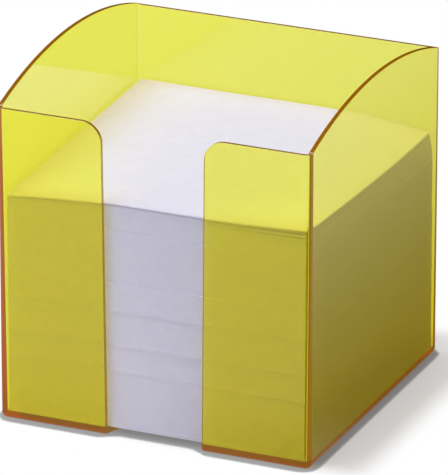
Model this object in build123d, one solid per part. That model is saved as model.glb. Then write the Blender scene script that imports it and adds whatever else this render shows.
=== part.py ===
"""Memo box: an open-topped box moulded in one piece from clear plastic, holding a stack of loose note sheets.

Millimetres. +Z is up, -Y is the front and +X is the right. The origin is the centre of the underside.
"""

import os
from math import cos, radians, sin

from build123d import *

# Box shell, outside
box_width = 100.0
box_depth = 100.0
corner_height = 98.5  # where the rim meets the outer faces at the front and the rear
arch_rise = 8.5  # crown of the side walls above the corners
corner_radius = 2.0  # upright outer edges
foot_radius = 1.8  # edges round the underside

# Box shell, inside: the walls thin towards the rim, so that the moulding leaves its core
floor_thickness = 2.2
wall_at_floor = 1.9
wall_at_rim = 1.3
inner_corner_radius = 0.5

# Front panels and the finger slot between them, wider at the rim, which runs on into the floor as a notch
slot_width_at_rim = 32.6
slot_width_at_floor = 31.0
panel_corner_radius = 6.5
panel_rise_radius = 1.3  # where a panel's flat top turns up into the side wall
notch_depth = 11.0  # from the outer front face
notch_corner_radius = 10.5

# Note sheets
sheet_clearance = 0.5  # from the sheets' edges to the walls at their thickest, when the stack is centred
edge_room = 0.25  # what is left of that clearance where the sheets lie furthest out of line
sheet_thickness = 0.1
sheets_in_bundle = 50
bundle_count = 14
single_sheet_count = 6
sheet_drift = 0.05  # how far a sheet lies out of line with its bundle
turn_between_drifts = 137.5  # degrees from the way one bundle or sheet drifts to the next one's way

beyond = 10.0  # how far a cutting tool reaches past what it cuts

# Worked out from the above
crown_height = corner_height + arch_rise
sheet_edge = max(wall_at_floor, wall_at_rim) + sheet_clearance  # in from the box's outer faces
sheet_width = box_width - 2 * sheet_edge
sheet_depth = box_depth - 2 * sheet_edge
bundle_drift = sheet_clearance - edge_room - sheet_drift  # how far a bundle lies out of line with the box


def arched_block():
    """The box's outer form before it is hollowed: a side view with an arched top, drawn out to the width."""
    half_depth = box_depth / 2
    with BuildPart() as block:
        with BuildSketch(Plane.YZ.offset(-box_width / 2)):
            with BuildLine():
                foot = Line((-half_depth, 0), (half_depth, 0))
                rear = Line(foot @ 1, (half_depth, corner_height))
                arch = ThreePointArc(rear @ 1, (0, crown_height), (-half_depth, corner_height))
                Line(arch @ 1, foot @ 0)
            make_face()
        extrude(amount=box_width)
        fillet(block.edges().filter_by(Axis.Z), corner_radius)
        fillet(block.faces().sort_by(Axis.Z)[0].edges(), foot_radius)
    return block.part


def well():
    """The hollow for the sheets, from the floor to above the crown, its sides leaning outwards."""
    lean_per_mm = (wall_at_floor - wall_at_rim) / (corner_height - floor_thickness)
    top = crown_height + beyond
    lean = lean_per_mm * (top - floor_thickness)
    width = box_width - 2 * wall_at_floor
    depth = box_depth - 2 * wall_at_floor
    with BuildPart() as hollow:
        with BuildSketch(Plane.XY.offset(floor_thickness)):
            RectangleRounded(width, depth, inner_corner_radius)
        with BuildSketch(Plane.XY.offset(top)):
            RectangleRounded(width + 2 * lean, depth + 2 * lean, inner_corner_radius)
        loft(ruled=True)
    return hollow.part


def slot_tool():
    """The cut between the front panels, and along their flat tops to where these rise into the side walls."""
    half_at_floor = slot_width_at_floor / 2
    half_at_rim = slot_width_at_rim / 2
    panel_end = box_width / 2 - wall_at_rim
    top = crown_height + beyond
    with BuildPart() as tool:
        with BuildSketch(Plane.XZ.offset(box_depth / 2 + beyond)):
            with BuildLine():
                foot = Line((0, -beyond), (half_at_floor, -beyond))
                upright = Line(foot @ 1, (half_at_floor, floor_thickness))
                side = Line(upright @ 1, (half_at_rim, corner_height - panel_corner_radius))
                panel_start = (half_at_rim + panel_corner_radius, corner_height)
                corner = RadiusArc(side @ 1, panel_start, panel_corner_radius)
                panel_top = Line(corner @ 1, (panel_end - panel_rise_radius, corner_height))
                wall_start = (panel_end, corner_height + panel_rise_radius)
                rise = RadiusArc(panel_top @ 1, wall_start, -panel_rise_radius)
                up = Line(rise @ 1, (panel_end, top))
                across = Line(up @ 1, (0, top))
                Line(across @ 1, foot @ 0)
            make_face()
            mirror(about=Plane.YZ)
        extrude(amount=-(beyond + wall_at_floor))
    return tool.part


def notch_tool():
    """The slot's way into the floor: a bay with two round inner corners, open at the front."""
    length = notch_depth + beyond
    with BuildPart() as tool:
        with BuildSketch(Plane.XY.offset(-beyond)):
            with Locations((0, notch_depth - box_depth / 2 - length / 2)):
                bay = Rectangle(slot_width_at_floor, length)
            fillet(bay.vertices().group_by(Axis.Y)[-1], notch_corner_radius)
        extrude(amount=beyond + floor_thickness)
    return tool.part


def box_shell():
    """The moulding: the arched block, hollowed, with the slot and its notch cut through."""
    return arched_block() - well() - slot_tool() - notch_tool()


def drift(step, reach):
    """Where loose paper comes to lie: a little out of line, each step another way."""
    way = radians(turn_between_drifts * step)
    return Vector(reach * cos(way), reach * sin(way), 0)


def sheet(index, bundle):
    """Sheet number index of the stack, counted from the floor, lying flat in the given bundle."""
    middle = floor_thickness + (index + 0.5) * sheet_thickness
    place = Vector(0, 0, middle) + drift(bundle, bundle_drift) + drift(index, sheet_drift)
    return Pos(place) * Box(sheet_width, sheet_depth, sheet_thickness)


os.makedirs("parts", exist_ok=True)
export_step(box_shell(), "parts/box_shell.step")

for bundle in range(bundle_count):
    first = bundle * sheets_in_bundle
    sheets = [sheet(first + k, bundle) for k in range(sheets_in_bundle)]
    export_step(Compound(children=sheets), f"parts/sheet_bundle_{bundle + 1:02d}.step")

for k in range(single_sheet_count):
    on_top = sheet(bundle_count * sheets_in_bundle + k, bundle_count + k)
    export_step(on_top, f"parts/top_sheet_{k + 1}.step")
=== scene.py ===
from math import cos, radians, sin, sqrt
from random import Random

import bmesh
import bpy
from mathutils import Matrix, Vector


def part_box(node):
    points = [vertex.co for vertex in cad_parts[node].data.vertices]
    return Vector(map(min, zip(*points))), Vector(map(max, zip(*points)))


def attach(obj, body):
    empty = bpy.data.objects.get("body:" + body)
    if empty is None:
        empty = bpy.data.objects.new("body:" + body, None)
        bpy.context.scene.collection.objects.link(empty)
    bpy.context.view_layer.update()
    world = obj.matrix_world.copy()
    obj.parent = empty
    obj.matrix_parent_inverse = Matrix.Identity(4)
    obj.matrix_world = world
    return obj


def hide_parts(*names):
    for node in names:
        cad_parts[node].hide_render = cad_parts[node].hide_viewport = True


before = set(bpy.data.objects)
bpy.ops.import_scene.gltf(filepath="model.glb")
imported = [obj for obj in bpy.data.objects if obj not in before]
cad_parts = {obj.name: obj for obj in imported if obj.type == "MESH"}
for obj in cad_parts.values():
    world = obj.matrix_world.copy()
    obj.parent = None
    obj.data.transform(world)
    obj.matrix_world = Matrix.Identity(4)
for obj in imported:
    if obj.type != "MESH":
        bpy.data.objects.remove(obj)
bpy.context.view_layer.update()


# The box is one injection moulding: a floor, a rear wall, two side walls with arched tops and two front
# panels. A finger slot parts the panels and runs on into the floor as a notch. The walls thin towards the
# rim, so that the moulding leaves its core, and the mould eases every edge.
half_width, half_depth, crown_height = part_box("box_shell")[1]
arch_rise = 0.0085  # of the side walls' crown above the corners
corner_height = crown_height - arch_rise
arch_radius = (half_depth ** 2 + arch_rise ** 2) / (2 * arch_rise)
corner_radius = 0.002
foot_radius = 0.0018
floor_thickness = 0.0022
wall_at_floor = 0.0019
wall_at_rim = 0.0013
inner_corner_radius = 0.0005
slot_at_rim = 0.0163  # half of the slot's width
slot_at_floor = 0.0155
panel_corner_radius = 0.0065
notch_depth = 0.011
notch_corner_radius = 0.0105
eased_edge = 0.00025
eased_angle = radians(40)  # edges that turn by less are left as they are
cut_reach = 0.01  # how far a cutting block stands out of the box
notch_overcut = 0.00088  # how far the notch's block goes on above the floor
slot_overcut = 0.00057  # how far the slot's block goes on behind the front wall

corner_steps = 10
foot_steps = 8
arch_steps = 60
notch_steps = 12
panel_steps = 16
easing_steps = 3


def rim_height(y):
    """Height of the rim: an arch from the front corner over the side wall to the rear corner."""
    return crown_height - arch_radius + sqrt(arch_radius ** 2 - y ** 2)


def outline(inset, radius):
    """The box seen from above, inset from its outer faces, anticlockwise from the front right corner."""
    points = []
    for turn, (side_x, side_y) in enumerate(((1, -1), (1, 1), (-1, 1), (-1, -1))):
        x = side_x * (half_width - inset - radius)
        y = side_y * (half_depth - inset - radius)
        for step in range(corner_steps + 1):
            angle = radians(90 * (turn - 1 + step / corner_steps))
            points.append((x + radius * cos(angle), y + radius * sin(angle)))
        if turn % 2 == 0:
            wall = points[-1][0]
            points += [(wall, y * (1 - 2 * step / arch_steps)) for step in range(1, arch_steps)]
    return points


def arc(x, y, radius, start, end, steps):
    """Points along an arc about (x, y), from one angle in degrees to another."""
    angles = [radians(start + (end - start) * step / steps) for step in range(steps + 1)]
    return [(x + radius * cos(a), y + radius * sin(a)) for a in angles]


def new_object(name, bm):
    """An object with the mesh bm, its faces turned outwards."""
    bmesh.ops.recalc_face_normals(bm, faces=bm.faces)
    mesh = bpy.data.meshes.new(name)
    bm.to_mesh(mesh)
    bm.free()
    thing = bpy.data.objects.new(name, mesh)
    bpy.context.scene.collection.objects.link(thing)
    return thing


def prism(name, loop, reach):
    """A block with the closed loop of points as its section, drawn out by the vector reach."""
    bm = bmesh.new()
    near = [bm.verts.new(p) for p in loop]
    far = [bm.verts.new(Vector(p) + Vector(reach)) for p in loop]
    bm.faces.new(near)
    bm.faces.new(far)
    for k in range(len(loop)):
        bm.faces.new((near[k - 1], near[k], far[k], far[k - 1]))
    return new_object(name, bm)


def settle(thing):
    """Turns what the modifiers of thing make into its own mesh."""
    shaped = thing.evaluated_get(bpy.context.evaluated_depsgraph_get())
    mesh = bpy.data.meshes.new_from_object(shaped)
    thing.modifiers.clear()
    thing.data = mesh


rings = []
for step in range(foot_steps + 1):
    angle = radians(90 * step / foot_steps)
    inset = foot_radius * (1 - sin(angle))
    height = foot_radius * (1 - cos(angle))
    rings.append([(x, y, height) for x, y in outline(inset, corner_radius - inset)])
outside = outline(0, corner_radius)
rings.append([(x, y, rim_height(y)) for x, y in outside])
at_floor = [Vector((x, y, floor_thickness)) for x, y in outline(wall_at_floor, inner_corner_radius)]
at_corner = [Vector((x, y, corner_height)) for x, y in outline(wall_at_rim, inner_corner_radius)]
share_of_height = [(rim_height(y) - floor_thickness) / (corner_height - floor_thickness) for x, y in outside]
rings.append([low.lerp(high, share) for low, high, share in zip(at_floor, at_corner, share_of_height)])
rings.append(at_floor)

bm = bmesh.new()
loops = [[bm.verts.new(p) for p in ring] for ring in rings]
for lower, upper in zip(loops, loops[1:]):
    for k in range(len(lower)):
        bm.faces.new((lower[k - 1], lower[k], upper[k], upper[k - 1]))
bm.faces.new(loops[0])
bm.faces.new(loops[-1])
box = new_object("moulded_box", bm)

front = -half_depth - cut_reach
turn_x = slot_at_floor - notch_corner_radius
turn_y = notch_depth - half_depth - notch_corner_radius
bay = [(-slot_at_floor, front), (slot_at_floor, front)]
bay += arc(turn_x, turn_y, notch_corner_radius, 0, 90, notch_steps)
bay += arc(-turn_x, turn_y, notch_corner_radius, 90, 180, notch_steps)
below = [(x, y, -cut_reach) for x, y in bay]
notch = prism("notch", below, (0, 0, cut_reach + floor_thickness + notch_overcut))

turn_x = slot_at_rim + panel_corner_radius
turn_z = corner_height - panel_corner_radius
right = [(slot_at_floor, floor_thickness)]
right += arc(turn_x, turn_z, panel_corner_radius, 180, 90, panel_steps)
right += [(turn_x, crown_height + cut_reach)]
left = [(-x, z) for x, z in reversed(right)]
gap = [(x, front, z) for x, z in right + left]
slot = prism("slot", gap, (0, cut_reach + wall_at_floor + slot_overcut, 0))

for cutter in (notch, slot):
    cut = box.modifiers.new(cutter.name, "BOOLEAN")
    cut.object = cutter
    cut.operation = "DIFFERENCE"
    cut.solver = "EXACT"
settle(box)
for cutter in (notch, slot):
    bpy.data.objects.remove(cutter)

easing = box.modifiers.new("eased edges", "BEVEL")
easing.width = eased_edge
easing.segments = easing_steps
easing.limit_method = "ANGLE"
easing.angle_limit = eased_angle
easing.use_clamp_overlap = False
settle(box)
box.data.shade_smooth()
box.modifiers.new("flat faces stay flat", "WEIGHTED_NORMAL")
settle(box)


# Clear polystyrene with a fluorescent yellow dye, from a polished mould: a hard gloss with the least waves in
# it. A faint yellow glow is painted on its faces, the same under any light. The edges turn orange and brown,
# partly because the dye takes more green than red out of light that runs far inside the plastic, and partly
# from a painted orange glow inside it, which grows with the length of plastic that is looked through.
def linear(code):
    """An sRGB colour such as "FFE600" as linear red, green and blue, and an alpha of 1."""
    parts = [int(code[k:k + 2], 16) / 255 for k in (0, 2, 4)]
    return [p / 12.92 if p <= 0.04045 else ((p + 0.055) / 1.055) ** 2.4 for p in parts] + [1.0]


def add(tree, kind, inputs=None, **settings):
    """A new node of that kind in the tree. An input is given a value, or a socket to be linked to."""
    made = tree.nodes.new("ShaderNode" + kind)
    for name, value in settings.items():
        setattr(made, name, value)
    for name, value in (inputs or {}).items():
        if isinstance(value, bpy.types.NodeSocket):
            tree.links.new(value, made.inputs[name])
        else:
            made.inputs[name].default_value = value
    return made


def new_material(name):
    """An empty material and its node tree."""
    material = bpy.data.materials.new(name)
    material.use_nodes = True
    material.node_tree.nodes.clear()
    return material, material.node_tree


wave_width = 0.03  # of the slight waves in the polished faces
smear_width = 0.006  # of the spots where hands have dulled the gloss
dye_density = 245  # per metre
painted_glow_strength = 12.0  # painted glow: light given out in each metre of plastic, under any light
polystyrene, tree = new_material("clear_yellow_polystyrene_moulded")
place = add(tree, "TexCoord").outputs["Object"]
waves = add(tree, "TexNoise", {"Vector": place, "Scale": 1 / wave_width, "Detail": 1.0})
bump = add(tree, "Bump", {"Height": waves.outputs["Fac"], "Strength": 0.02, "Distance": 0.001})
smears = add(tree, "TexNoise", {"Vector": place, "Scale": 1 / smear_width, "Detail": 4.0, "Roughness": 0.6})
gloss = add(tree, "MapRange", {"Value": smears.outputs["Fac"], "To Min": 0.0, "To Max": 0.05})
plastic = add(tree, "BsdfPrincipled", {
    "Base Color": linear("F6FF78"),
    "Roughness": gloss.outputs["Result"],
    "IOR": 1.58,
    "Transmission Weight": 1.0,
    # painted glow: the faces give out a faint yellow light of their own, whatever light falls on them
    "Emission Color": linear("FFF600"),
    "Emission Strength": 0.028,
    "Normal": bump.outputs["Normal"],
})
# Light from the lamps goes straight through the walls, tinted mostly by their dye, and falls on the paper.
lets_light_in = add(tree, "BsdfTransparent", {"Color": linear("FFFFEE")})
surface = add(tree, "MixShader", {
    "Fac": add(tree, "LightPath").outputs["Is Shadow Ray"],
    1: plastic.outputs["BSDF"],
    2: lets_light_in.outputs["BSDF"],
})
dye = add(tree, "VolumeAbsorption", {"Color": linear("EFDB4A"), "Density": dye_density})
# painted glow inside the plastic: orange light given out along every path through it, under any light
painted_glow = add(tree, "Emission", {"Color": linear("FF8517"), "Strength": painted_glow_strength})
inside = add(tree, "AddShader", {0: dye.outputs["Volume"], 1: painted_glow.outputs["Emission"]})
add(tree, "OutputMaterial", {"Surface": surface.outputs["Shader"], "Volume": inside.outputs["Shader"]})
box.data.materials.append(polystyrene)
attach(box, "box")
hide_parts("box_shell")


# The note sheets are some seven hundred loose squares of white paper, cut as one block on a guillotine.
# Handfuls have slipped a little. The upper sheets have curled, up along the rear edge and down at the front
# left and the rear right corner, and fan out at the front right corner.
sheet_size = 0.0952
sheet_pitch = 0.0001
sheet_thickness = 0.000094  # leaves air between the sheets
sheets_in_bundle = 50
loose_air = 0.00003  # more air below each of the topmost sheets
sheet_slip = 0.000015
handfuls = (  # upwards: height of the top, and how far the lowest and the uppermost sheet stand forward
    (0.0032, 0.00012, 0.00012),
    (0.0201, -0.00002, -0.00013),
    (0.0286, 0.00007, -0.00014),
    (0.0395, 0.0002, -0.00006),
    (0.0484, 0.0002, 0.00022),
    (0.0647, -0.00006, 0.0002),
    (0.08, -0.00006, 0.0),
)
slant = 0.7  # how far a handful has slipped to the right, as a share of how far it has slipped forward
lip_height = 0.0009  # the lowest sheets of a handful that overhangs stand out as a lip
lip = 0.0001
groove_height = 0.00015  # right below an overhang a sheet is pushed in
groove = 0.0003
front_rise, rear_rise = 0.0002, 0.0017  # how far the top sheet has risen in the middle of its edges
left_rise = (-0.0022, 0.0019)  # the same at its left corners, front and rear
right_rise = (0.0003, -0.0014)
flat_share = 0.25  # the part of the sheet's half width that doesn't bend
bend_power = 1.5  # above 1, the bend grows towards the sides
rise_power = 1.3  # above 1, the rise grows towards the top of the stack
corner_fan = 0.0006  # how far the upper sheets have fanned out at the front right corner
fan_depth = 0.004
parted_at = (0.0008, 0.0017)  # below the top, where the fanned sheets part
parted_by = 0.0003
corner_pull = 0.0012  # how far the rear right corner has drawn in at the top
pulled_height = 0.008
bundle_cells = 12  # squares along each side of a sheet's mesh
top_cells = 24
stack_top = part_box("top_sheet_6")[1].z
draw = Random(7)


def lift(x, y, z):
    """How far loose paper has risen or sunk at a point: most at the top, and nothing on the floor."""
    across = x / (sheet_size / 2)
    back = 0.5 + y / sheet_size
    middle = front_rise + (rear_rise - front_rise) * back
    front_corner, rear_corner = left_rise if x < 0 else right_rise
    edge = front_corner + (rear_corner - front_corner) * back
    bend = max(0.0, (abs(across) - flat_share) / (1 - flat_share)) ** bend_power
    above_floor = max(0.0, (z - floor_thickness) / (stack_top - floor_thickness))
    return (middle + (edge - middle) * bend) * above_floor ** rise_power


def stand_forward(height):
    """How far the sheet at a height of the stack stands forward of the middle of the box."""
    k = next(k for k, handful in enumerate(handfuls) if height < handful[0])
    end, lowest, uppermost = handfuls[k]
    start, below = (handfuls[k - 1][0], handfuls[k - 1][2]) if k else (floor_thickness, lowest)
    above = handfuls[k + 1][1] if k + 1 < len(handfuls) else uppermost
    share = (height - start) / (end - start)
    forward = lowest + (uppermost - lowest) * share
    if lowest > below and height < start + lip_height:
        forward += lip
    if above > uppermost and height > end - groove_height:
        forward -= groove
    return forward


def add_sheet(bm, x, y, bottom, cells):
    """One sheet in the mesh bm, centred on (x, y), with cells squares along each side."""
    depth = stack_top - bottom
    fan = corner_fan * max(0.0, 1 - depth / fan_depth)
    fan += parted_by * sum(depth < level for level in parted_at)
    layers = []
    for z in (bottom, bottom + sheet_thickness):
        pull = corner_pull * max(0.0, 1 - (stack_top - z) / pulled_height) ** 2
        layer = []
        for row in range(cells + 1):
            for column in range(cells + 1):
                px = x + sheet_size * (column / cells - 0.5)
                py = y + sheet_size * (row / cells - 0.5)
                right = max(0.0, px / (sheet_size / 2)) ** 2
                front = (0.5 - py / sheet_size) ** 2
                rear = (0.5 + py / sheet_size) ** 4
                rise = lift(px, py, z) + fan * right * front
                layer.append(bm.verts.new((px - pull * right * rear, py, z + rise)))
        layers.append(layer)
    low, high = layers
    wide = cells + 1
    for row in range(cells):
        for column in range(cells):
            a = row * wide + column
            bm.faces.new((high[a], high[a + 1], high[a + 1 + wide], high[a + wide]))
            bm.faces.new((low[a], low[a + wide], low[a + 1 + wide], low[a + 1]))
    front_edge = list(range(wide))
    right_edge = [k * wide + cells for k in range(wide)]
    rear_edge = [cells * wide + k for k in reversed(range(wide))]
    left_edge = [k * wide for k in reversed(range(wide))]
    for edge in (front_edge, right_edge, rear_edge, left_edge):
        for a, b in zip(edge, edge[1:]):
            bm.faces.new((low[a], low[b], high[b], high[a]))


# Uncoated wood-free paper, calendered: matt and a cold white, with the faint cloudiness of its fibres. On the
# cut sides fine lines are painted a little darker and lighter: painted shade in the gaps between the sheets
# and painted light on their edges. Edges and fibres are too fine to show one by one, so the lines are drawn
# about five sheets apart, and the fibres' tooth some twenty times as coarse as it is.
cloud_width = 0.004
cut_line_length = 0.03
cut_line_spacing = 5 * sheet_pitch
tooth_width = 0.0006
upright_limit = 0.5  # a face is a cut side where its normal rises or falls by less than this
cloud_stops = ((0.3, "EDECF7"), (0.7, "F2F1FB"))
# painted shade and light of the cut sides: darker stops for the gaps, lighter ones for the sheets' edges
edge_shade_stops = ((0.22, "F6F6F6"), (0.32, "FAFAFA"), (0.68, "FAFAFA"), (0.74, "FFFFFF"))
paper, tree = new_material("uncoated_white_paper")
place = add(tree, "TexCoord").outputs["Object"]
cloud = add(tree, "TexNoise", {"Vector": place, "Scale": 1 / cloud_width, "Detail": 5.0, "Roughness": 0.65})
white = add(tree, "ValToRGB", {"Fac": cloud.outputs["Fac"]})
line_scale = (1 / cut_line_length, 1 / cut_line_length, 1 / cut_line_spacing)
cut_lines = add(tree, "Mapping", {"Vector": place, "Scale": line_scale})
cut = add(tree, "TexNoise", {"Vector": cut_lines.outputs["Vector"], "Scale": 1.0, "Detail": 1.0})
painted_edge_shade = add(tree, "ValToRGB", {"Fac": cut.outputs["Fac"]})
for ramp, stops in ((white.color_ramp, cloud_stops), (painted_edge_shade.color_ramp, edge_shade_stops)):
    while len(ramp.elements) < len(stops):
        ramp.elements.new(1.0)
    for element, (position, code) in zip(ramp.elements, stops):
        element.position = position
        element.color = linear(code)
facing = add(tree, "SeparateXYZ", {"Vector": add(tree, "NewGeometry").outputs["Normal"]})
on_cut_side = add(tree, "Math", {0: facing.outputs["Z"], 1: 0.0, 2: upright_limit}, operation="COMPARE")
# The mix node's inputs 6 and 7 and its output 2 are the ones for colours.
colour = add(tree, "Mix", {0: on_cut_side.outputs[0], 6: white.outputs["Color"], 7: painted_edge_shade.outputs["Color"]},
             data_type="RGBA", blend_type="MULTIPLY")
fibre = add(tree, "TexNoise", {"Vector": place, "Scale": 1 / tooth_width, "Detail": 3.0})
tooth = add(tree, "Bump", {"Height": fibre.outputs["Fac"], "Strength": 0.08, "Distance": 0.0001})
sheet_surface = add(tree, "BsdfPrincipled", {
    "Base Color": colour.outputs[2],
    "Roughness": 0.9,
    "Specular IOR Level": 0.1,
    "Normal": tooth.outputs["Normal"],
})
add(tree, "OutputMaterial", {"Surface": sheet_surface.outputs["BSDF"]})


def lay(piece, node):
    """The piece of paper takes the place of a node of the frame."""
    piece.data.materials.append(paper)
    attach(piece, node)
    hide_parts(node)


for node in sorted(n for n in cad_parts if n.startswith("sheet_bundle")):
    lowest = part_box(node)[0].z
    bm = bmesh.new()
    for k in range(sheets_in_bundle):
        bottom = lowest + k * sheet_pitch
        forward = stand_forward(bottom)
        x = slant * forward + draw.uniform(-sheet_slip, sheet_slip)
        y = -forward + draw.uniform(-sheet_slip, sheet_slip)
        add_sheet(bm, x, y, bottom, bundle_cells)
    lay(new_object(node.replace("sheet", "paper"), bm), node)

for k, node in enumerate(sorted(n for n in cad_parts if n.startswith("top_sheet"))):
    low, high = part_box(node)
    middle = (low + high) / 2
    bm = bmesh.new()
    add_sheet(bm, middle.x, middle.y, low.z + (k + 1) * loose_air, top_cells)
    lay(new_object(node.replace("sheet", "paper"), bm), node)


# The floor is a plain white studio table. It is dark where it meets the box, keeps the box's shadow to the
# right and the rear, and further out is the white of the background. To the right it throws no light back,
# and in the gloss of the plastic and through its walls it looks dimmer than it is.
table_reach = 3
table_gap = 0.0001  # between the table and the underside of the box
contact_reach = 0.004
contact_ends = (0.75, 0.78)  # shares of open surroundings between which the dark line by the foot fades
contact_white = 0.38  # how white that line is
shadow_shift = 0.009  # from the middle of the box to the middle of the shadow, to the right and to the rear
shadow_fade = 0.012
shadow_white = 0.4  # share of the background's white that the shadow keeps
# Oblongs of the floor: where the middle is, and half of the size, each in x and y.
no_bounce = (0.13, 0.1, 0.07, 0.15)  # to the right
bounce_fade = 0.06
full_bounce = 0.95
dim_in_gloss = (0, 0.155, half_width, 0.145)  # from the middle of the box to far behind it
dim_fade = 0.13
gloss_levels = (0.04, 0.7)  # how bright the floor looks in the gloss, there and elsewhere
dark_in_gloss = (0.2, -0.15, 0.13, 0.075)  # in front, to the right
dark_fade = 0.05
loss_from, loss_to = -0.14, -0.03  # where, from left to right, the floor seen through the plastic gets dimmer
loss_levels = (0.15, 0.24)
bm = bmesh.new()
bmesh.ops.create_grid(bm, x_segments=1, y_segments=1, size=table_reach)
floor = new_object("floor", bm)
floor.location.z = -table_gap
table, tree = new_material("white_table")
place = add(tree, "TexCoord").outputs["Object"]
ray = add(tree, "LightPath").outputs


def beside(x, y, half_x, half_y):
    """How far a point of the floor lies outside an oblong of that size about (x, y)."""
    moved = add(tree, "VectorMath", {0: place, 1: (x, y, 0)}, operation="SUBTRACT")
    either_side = add(tree, "VectorMath", {0: moved.outputs[0]}, operation="ABSOLUTE")
    half_size = (half_x, half_y, 1)
    past_edge = add(tree, "VectorMath", {0: either_side.outputs[0], 1: half_size}, operation="SUBTRACT")
    outside = add(tree, "VectorMath", {0: past_edge.outputs[0], 1: (0, 0, 0)}, operation="MAXIMUM")
    return add(tree, "VectorMath", {0: outside.outputs[0]}, operation="LENGTH").outputs["Value"]


# What the camera sees, directly or through the plastic
# The dark line by the foot is painted shade: an occlusion node darkens the floor's white and its colour
# there.
contact = add(tree, "AmbientOcclusion", {"Distance": contact_reach}, samples=16)
open_floor = add(tree, "MapRange", {
    "Value": contact.outputs["AO"],
    "From Min": contact_ends[0],
    "From Max": contact_ends[1],
    "To Min": contact_white,
}, interpolation_type="SMOOTHSTEP").outputs["Result"]
along = add(tree, "SeparateXYZ", {"Vector": place})
loss = add(tree, "MapRange", {
    "Value": along.outputs["X"],
    "From Min": loss_from,
    "From Max": loss_to,
    "To Min": loss_levels[0],
    "To Max": loss_levels[1],
})
loss = add(tree, "Math", {0: loss.outputs["Result"], 1: ray["Is Transmission Ray"]}, operation="MULTIPLY")
left_over = add(tree, "Math", {0: 1.0, 1: loss.outputs[0]}, operation="SUBTRACT")
whiteness = add(tree, "Math", {0: open_floor, 1: left_over.outputs[0]}, operation="MULTIPLY")
white = add(tree, "Emission", {"Color": linear("FFFFFF"), "Strength": whiteness.outputs[0]})
dimmed = add(tree, "BsdfDiffuse", {"Color": open_floor})
from_shadow = beside(shadow_shift, shadow_shift, half_width, half_depth)
fade = add(tree, "MapRange", {"Value": from_shadow, "From Max": shadow_fade, "To Min": shadow_white},
           interpolation_type="SMOOTHSTEP")
shaded = add(tree, "MixShader", {"Fac": fade.outputs["Result"], 1: dimmed.outputs[0], 2: white.outputs[0]})

# The light that it throws back
bounce = add(tree, "MapRange", {
    "Value": beside(*no_bounce),
    "From Max": bounce_fade,
    "To Min": 0.0,
    "To Max": full_bounce,
})
matt = add(tree, "BsdfDiffuse", {"Color": bounce.outputs["Result"]})

# What shows in the gloss
dim_part = add(tree, "MapRange", {
    "Value": beside(*dim_in_gloss),
    "From Max": dim_fade,
    "To Min": gloss_levels[0],
    "To Max": gloss_levels[1],
}, interpolation_type="SMOOTHSTEP")
dark_part = add(tree, "MapRange", {"Value": beside(*dark_in_gloss), "From Max": dark_fade},
                interpolation_type="SMOOTHSTEP")
brightness = add(tree, "Math", {0: dim_part.outputs["Result"], 1: dark_part.outputs["Result"]},
                 operation="MULTIPLY")
gleam = add(tree, "Emission", {"Color": linear("FFFFFF"), "Strength": brightness.outputs[0]})

seen = add(tree, "Math", {0: ray["Is Camera Ray"], 1: ray["Is Transmission Ray"]}, operation="MAXIMUM")
seen = add(tree, "Math", {0: seen.outputs[0], 1: ray["Diffuse Depth"]}, operation="SUBTRACT", use_clamp=True)
direct = add(tree, "MixShader", {"Fac": seen.outputs[0], 1: matt.outputs[0], 2: shaded.outputs[0]})
mirrored = add(tree, "Math", {0: ray["Is Glossy Ray"], 1: ray["Is Transmission Ray"]}, operation="SUBTRACT")
whole = add(tree, "MixShader", {"Fac": mirrored.outputs[0], 1: direct.outputs[0], 2: gleam.outputs[0]})
add(tree, "OutputMaterial", {"Surface": whole.outputs[0]})
floor.data.materials.append(table)


# The lamps are a large soft box overhead, a little to the left, a weak fill to the left of the front, and a
# small reflector low down before the left front panel. Only the soft box overhead shows in the gloss.
box_middle = Vector((0, 0, 0.05))  # about half way up


def soft_box(name, place, size, watts, shows_in_gloss=False):
    """A square lamp at a place, turned towards the middle of the box."""
    lamp = bpy.data.lights.new(name, "AREA")
    lamp.color = linear("FBFAFF")[:3]
    lamp.size = size
    lamp.energy = watts
    thing = bpy.data.objects.new(name, lamp)
    thing.location = place
    thing.rotation_euler = (box_middle - Vector(place)).to_track_quat("-Z", "Y").to_euler()
    thing.visible_camera = False
    thing.visible_glossy = shows_in_gloss
    thing.visible_transmission = False
    bpy.context.scene.collection.objects.link(thing)


soft_box("overhead", place=(-0.25, -0.1, 1.2), size=0.9, watts=11.4, shows_in_gloss=True)
soft_box("front_fill", place=(-1.1, -0.8, 0.6), size=0.6, watts=0.3)
soft_box("reflector", place=(-0.09, -0.13, 0.002), size=0.1, watts=0.055)


# A card of black board stands upright behind the box. It shows in the gloss alone, where it keeps the white
# tent out of the rims.
card_width, card_height = 1.6, 1.1
card_behind = 0.35
bm = bmesh.new()
bmesh.ops.create_grid(bm, x_segments=1, y_segments=1, size=0.5)
card = new_object("rear_card", bm)
card.location = (0, card_behind, card_height / 2)
card.scale = (card_width, card_height, 1)
card.rotation_euler = (radians(90), 0, 0)
black, tree = new_material("black_card")
matt = add(tree, "BsdfDiffuse", {"Color": linear("101010")})
add(tree, "OutputMaterial", {"Surface": matt.outputs[0]})
card.data.materials.append(black)
card.visible_camera = False
card.visible_transmission = False
card.visible_diffuse = False
card.visible_shadow = False


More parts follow.
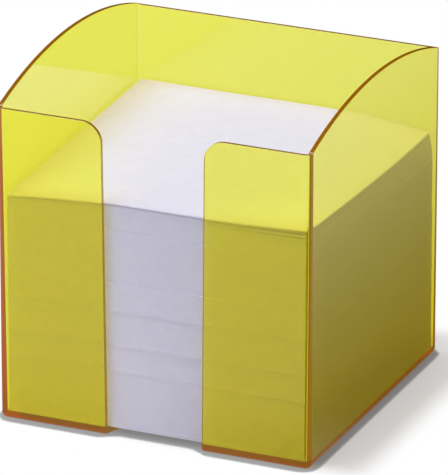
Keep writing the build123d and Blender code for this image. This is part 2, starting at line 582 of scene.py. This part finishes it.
# A tent of white cloth stands round the table. It is the white of the background, a little dimmer through the
# plastic, and lights the box from all round, less from the right. What it sends through the walls onto the
# paper is as bright as the background there, but not from the right.
tent_light = (0.36, 0.12)  # from the far left to the far right
through_plastic = 0.88
right_starts, right_ends = 0.1, 0.5  # X of the directions between which that light goes down
world = bpy.data.worlds.new("white_tent")
bpy.context.scene.world = world
world.use_nodes = True
tree = world.node_tree
tree.nodes.clear()
ray = add(tree, "LightPath").outputs
towards = add(tree, "SeparateXYZ", {"Vector": add(tree, "TexCoord").outputs["Generated"]})
side = add(tree, "MapRange", {
    "Value": towards.outputs["X"],
    "From Min": -1.0,
    "To Min": tent_light[0],
    "To Max": tent_light[1],
})
lighting = add(tree, "Background", {"Color": linear("EBEAFF"), "Strength": side.outputs["Result"]})
through = add(tree, "MapRange", {
    "Value": ray["Is Transmission Ray"],
    "To Min": 1.0,
    "To Max": through_plastic,
})
backdrop = add(tree, "Background", {"Color": linear("FFFFFF"), "Strength": through.outputs["Result"]})
seen = add(tree, "Math", {0: ray["Is Camera Ray"], 1: ray["Is Glossy Ray"]}, operation="MAXIMUM")
seen = add(tree, "Math", {0: seen.outputs[0], 1: ray["Is Transmission Ray"]}, operation="MAXIMUM")
unlit = add(tree, "MapRange", {
    "Value": towards.outputs["X"],
    "From Min": right_starts,
    "From Max": right_ends,
})
unlit = add(tree, "Math", {0: ray["Diffuse Depth"], 1: unlit.outputs["Result"]}, operation="MULTIPLY")
seen = add(tree, "Math", {0: seen.outputs[0], 1: unlit.outputs[0]}, operation="SUBTRACT", use_clamp=True)
tent = add(tree, "MixShader", {"Fac": seen.outputs[0], 1: lighting.outputs[0], 2: backdrop.outputs[0]})
add(tree, "OutputWorld", {"Surface": tent.outputs[0]})


# The camera stands nearly two metres away, to the right of the front, and looks down on the box through a
# long lens, so that the uprights stay nearly parallel.
azimuth = radians(23.6)
elevation = radians(21.63)
distance = 1.958
aim_right, aim_down = 0.00086, 0.00239  # from the middle of the box to the middle of the picture
to_camera = Vector((sin(azimuth) * cos(elevation), -cos(azimuth) * cos(elevation), sin(elevation)))
to_right = Vector((cos(azimuth), sin(azimuth), 0))
upwards = to_camera.cross(to_right)
aim = box_middle + aim_right * to_right - aim_down * upwards
lens = bpy.data.cameras.new("camera")
lens.lens = 496.7
lens.sensor_width = 36
lens.clip_end = 20
camera = bpy.data.objects.new("camera", lens)
camera.location = aim + distance * to_camera
camera.rotation_euler = (-to_camera).to_track_quat("-Z", "Y").to_euler()
bpy.context.scene.collection.objects.link(camera)
bpy.context.scene.camera = camera

bpy.context.scene.view_settings.view_transform = "Standard"
